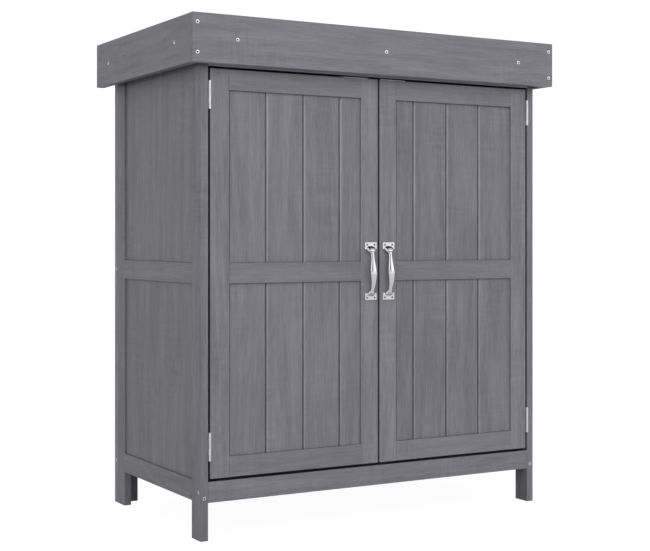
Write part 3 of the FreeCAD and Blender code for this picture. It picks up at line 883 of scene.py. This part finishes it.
def cross_depth(x, y, arm):
    """How deep the cross recess is at a place on a head of radius 1, from 0 to 1."""
    half_width = arm * ARM_WIDTH
    depth = 0.0
    for along, across in ((x, y), (y, x)):
        reach = max(0.0, 1.0 - (abs(along) / arm) ** 4)
        width = max(0.0, 1.0 - (abs(across) / half_width) ** 2)
        depth = max(depth, min(1.0, reach * ARM_END_SLOPE) * min(1.0, width * ARM_FLANK_SLOPE))
    hole = max(0.0, 1.0 - (math.hypot(x, y) / (arm * CENTRE_HOLE)) ** 2)
    return max(depth, hole)


def turned(count):
    """The cosine and sine of each step round a screw's axis."""
    angles = [2 * math.pi * turn / HEAD_TURNS for turn in range(count)]
    return [(math.cos(angle), math.sin(angle)) for angle in angles]


def head_rows(radius, arm):
    """Rings of points from the head's middle to its rim, each with whether it is painted dark as
    shade.
    """
    rows = []
    for ring in HEAD_RINGS:
        row = []
        for cosine, sine in turned(HEAD_TURNS if ring else 1):
            x = ring * cosine
            y = ring * sine
            sunk = cross_depth(x, y, arm) * radius * RECESS_DEPTH
            top = radius * DOME_RISE * (1.0 - ring ** 2) - sunk
            painted_shade = sunk > radius * RECESS_START or ring > RIM_START
            row.append((Vector((x * radius, y * radius, -top)), painted_shade))
        rows.append(row)
    return rows


def shank_rows(radius, length):
    """Rings of points from below the rim to the tip."""
    shank = radius * SHANK_SHARE
    profile = (
        (radius * RIM_LEVEL, radius),
        (radius * NECK_LEVEL, shank),
        (length * TAPER_LEVEL, shank * TAPER_SHARE),
        (length, shank * TIP_SHARE),
    )
    return [
        [(Vector((size * cosine, size * sine, level)), False) for cosine, sine in turned(HEAD_TURNS)]
        for level, size in profile
    ]


def faces_between(inner, outer):
    """Faces that join two rings of point numbers, or a middle point and its ring."""
    faces = []
    for turn in range(HEAD_TURNS):
        after = (turn + 1) % HEAD_TURNS
        if len(inner) == 1:
            faces.append((inner[0], outer[after], outer[turn]))
        else:
            faces.append((inner[turn], inner[after], outer[after], outer[turn]))
    return faces


def screw_mesh(node_name, arm):
    """Cross-head screws in place of a node's plain ones, as one mesh."""
    vertices = []
    faces = []
    recess = []
    for number, places in enumerate(separate_solids(nodes[node_name])):
        head, direction, radius, length = screw_place(places)
        facing = direction.to_track_quat("Z", "Y").to_matrix().to_4x4()
        screw_frame = Matrix.Translation(head) @ facing @ Matrix.Rotation(number * SCREW_TWIST, 4, "Z")
        rings = []
        for row in head_rows(radius, arm) + shank_rows(radius, length):
            rings.append(range(len(vertices), len(vertices) + len(row)))
            for point, painted_shade in row:
                vertices.append(tuple(screw_frame @ point))
                recess.append(1.0 if painted_shade else 0.0)
        for inner, outer in zip(rings, rings[1:]):
            faces.extend(faces_between(inner, outer))
        faces.append(tuple(rings[-1]))
    mesh = bpy.data.meshes.new(node_name + "_detail")
    mesh.from_pydata(vertices, [], faces)
    mesh.attributes.new("recess", "FLOAT", "POINT").data.foreach_set("value", recess)
    mesh.validate()
    mesh.polygons.foreach_set("use_smooth", [True] * len(mesh.polygons))
    mesh.update()
    return mesh


def add_screws():
    """Screws with cross recesses, in place of the plain ones."""
    bright = screw_material("screw_zinc", SCREW_COLOUR, BRIGHT_ROUGHNESS)
    stained = screw_material("screw_stained", STAINED_ZINC_COLOUR, STAINED_ROUGHNESS)
    for node_name, (body, arm, is_bright) in SCREW_NODES.items():
        mesh = screw_mesh(node_name, arm)
        mesh.materials.append(bright if is_bright else stained)
        piece = bpy.data.objects.new(node_name + "_detail", mesh)
        bpy.context.scene.collection.objects.link(piece)
        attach(piece, body)
        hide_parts(node_name)


# Boards: from joint to joint, the doors' and the back's first joint from the stile, and
# how many lie side by side in the plain rows
BOARD_PITCH = 73.3 * MM
DOOR_FIRST_JOINT = 72.6 * MM
BACK_FIRST_JOINT = 56.4 * MM
PLAIN_ROWS = {"floor_boards": 5, "shelf_boards": 4, "roof_deck_boards": 4}


class Stain:
    """Stains one node after another, each with a figure of its own."""

    def __init__(self):
        self.grain_group = make_grain_group()
        self.seed = FIRST_SEED

    def apply(self, name, grain, **more):
        self.seed += SEED_STEP
        plain_name = name.removeprefix("left_").removeprefix("right_")
        shade = SHADES.get(name, SHADES.get(plain_name, 0.0))
        dress(name, wood_material(
            "stain_" + name, grain, self.seed, self.grain_group, shade=shade, **more
        ))


def rail_lines(prefix):
    """The lines of painted shade along the inner edges of a frame's three rails."""
    bottom, middle, top = (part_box(prefix + name + "_rail") for name in ("bottom", "mid", "top"))
    levels = (bottom[1].z, middle[0].z, middle[1].z, top[0].z)
    return [("z", level, PAINTED_CORNER_SHADE) for level in levels]


def stain_side(stain, side, inward, painted_shade):
    """One side wall, and the frame of the door beside it."""
    # Painted shadow under the eaves, and painted shade on the walls that face the gaps
    eaves = ("z", EAVES_LEVEL, PAINTED_EAVES_SHADOW)
    stain.apply(
        side + "_rear_leg", "z", contrast=SIDE_CONTRAST, corners=[eaves],
        walls=[("y", -1.0, painted_shade * REAR_LEG_SHARE)],
    )
    stain.apply(
        side + "_front_leg", "z", rubbed=LEG_RUBBED_AND_HIGHLIGHT, corners=[eaves],
        walls=[("x", inward, painted_shade), ("y", 1.0, painted_shade)],
    )
    ends = (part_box(side + "_front_leg")[1].y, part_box(side + "_rear_leg")[0].y)
    corners = [("y", end, PAINTED_CORNER_SHADE) for end in ends] + rail_lines(side + "_side_") + [eaves]
    for name in ("_side_lower_panel", "_side_upper_panel"):
        stain.apply(side + name, "z", contrast=SIDE_CONTRAST, corners=corners)
    for name in ("_side_bottom_rail", "_side_mid_rail", "_side_top_rail"):
        stain.apply(side + name, "y", contrast=SIDE_CONTRAST)
    stain.apply(side + "_door_hinge_stile", "z", walls=[("x", -inward, painted_shade)])
    stain.apply(side + "_door_meeting_stile", "z", walls=[("x", inward, painted_shade * MEETING_SHARE)])
    stain.apply(
        side + "_door_bottom_rail", "x", contrast=RAIL_CONTRAST, walls=[("z", -1.0, GAP_PAINTED_SHADE)]
    )
    for name in ("_door_mid_rail", "_door_top_rail"):
        stain.apply(side + name, "x", contrast=RAIL_CONTRAST)


def stain_door_boards(stain):
    """Both doors' boards. A painted shadow of the left stile of each frame darkens the board beside
    it.
    """
    left_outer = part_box("left_door_hinge_stile")[1].x
    right_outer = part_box("right_door_hinge_stile")[0].x
    right_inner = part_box("right_door_meeting_stile")[1].x
    for side, first, shaded in (
        ("left", left_outer + DOOR_FIRST_JOINT, left_outer),
        ("right", right_outer - DOOR_FIRST_JOINT, right_inner),
    ):
        name = side + "_door_boards"
        stain.apply(
            name, "z", row=("x", first, BOARD_PITCH), rubbed=VEE_RUBBED_AND_HIGHLIGHT,
            vee=("y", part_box(name)[0].y, 1.0),
            corners=[("x", shaded, PAINTED_STILE_SHADOW)] + rail_lines(side + "_door_"),
        )


def stain_back(stain):
    """The back wall, whose boards are set out from its right stile."""
    # The stiles' front faces carry painted shade
    for name in ("back_left_stile", "back_right_stile"):
        stain.apply(name, "z", walls=[("y", -1.0, BACK_STILE_PAINTED_SHADE)])
    for name in ("back_bottom_rail", "back_mid_rail", "back_top_rail"):
        stain.apply(name, "x")
    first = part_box("back_right_stile")[0].x - BACK_FIRST_JOINT
    for name in ("back_lower_boards", "back_upper_boards"):
        stain.apply(
            name, "z", row=("x", first, BOARD_PITCH), rubbed=VEE_RUBBED_AND_HIGHLIGHT,
            vee=("y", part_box(name)[1].y, -1.0),
        )


def stain_front_and_inside(stain):
    """Front rails and fascia, the rows of plain boards, and the battens that hold them."""
    # Painted shade on the bottom rail's top and the top rail's underside, in the gaps round the doors;
    # painted light on the top rail's face and the fascia's underside, under the eaves
    stain.apply("front_bottom_rail", "x", walls=[("z", 1.0, GAP_PAINTED_SHADE)])
    stain.apply("front_top_rail", "x", walls=[("z", -1.0, EDGE_PAINTED_SHADE), ("y", -1.0, UNDER_ROOF_PAINTED_LIGHT)])
    stain.apply("catch_batten", "x")
    stain.apply("roof_front_fascia", "x", walls=[("z", -1.0, UNDER_ROOF_PAINTED_LIGHT)])
    for name, count in PLAIN_ROWS.items():
        low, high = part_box(name)
        stain.apply(name, "x", row=("y", low.y, (high.y - low.y) / count))
    for name in ("floor_cleats", "shelf_cleats", "roof_bearers"):
        stain.apply(name, "y")


def stain_side_fascias(stain):
    """The fascias at the roof's sides, with painted shade below and on the inside."""
    for side, inward in (("left", 1.0), ("right", -1.0)):
        stain.apply(
            "roof_" + side + "_fascia", "y", contrast=SIDE_CONTRAST,
            walls=[
                ("z", -1.0, EDGE_PAINTED_SHADE * FASCIA_EDGE_SHARE),
                ("x", inward, EDGE_PAINTED_SHADE * FASCIA_INSIDE_SHARE),
            ],
        )


def dress_wood():
    """Stains every wooden node. Each takes the next seed, so the order sets the figures."""
    stain = Stain()
    stain_side(stain, "left", 1.0, EDGE_PAINTED_SHADE)
    stain_side(stain, "right", -1.0, EDGE_PAINTED_SHADE * RIGHT_SIDE_SHARE)
    stain_door_boards(stain)
    stain_back(stain)
    stain_front_and_inside(stain)
    stain_side_fascias(stain)


# Zinc plates: roughness, scale of the marks, and strength of the spangle
HINGE_FINISH = (0.30, 700.0, 0.05)
STRIKE_FINISH = (0.42, 700.0, 0.03)


def dress_metal():
    """Hinges, pulls and strikes. The screws are pieces of their own."""
    zinc = metal_material("zinc_plate", ZINC_COLOUR, *HINGE_FINISH)
    silver = pull_material()
    strike = metal_material("strike_zinc", STRIKE_COLOUR, *STRIKE_FINISH)
    for name in ("fixed_hinge_leaves", "hinge_pins"):
        dress(name, zinc)
    for side in ("left", "right"):
        dress(side + "_handle", silver)
        dress(side + "_door_hinge_leaves", zinc)
        dress(side + "_strike_plate", strike)


bpy.context.scene.view_settings.view_transform = "Standard"
add_camera()
add_world()
add_floor()
dress_wood()
dress_metal()
dress("magnet_catches", plastic_material())
dress("roof_felt", felt_material())
add_screws()
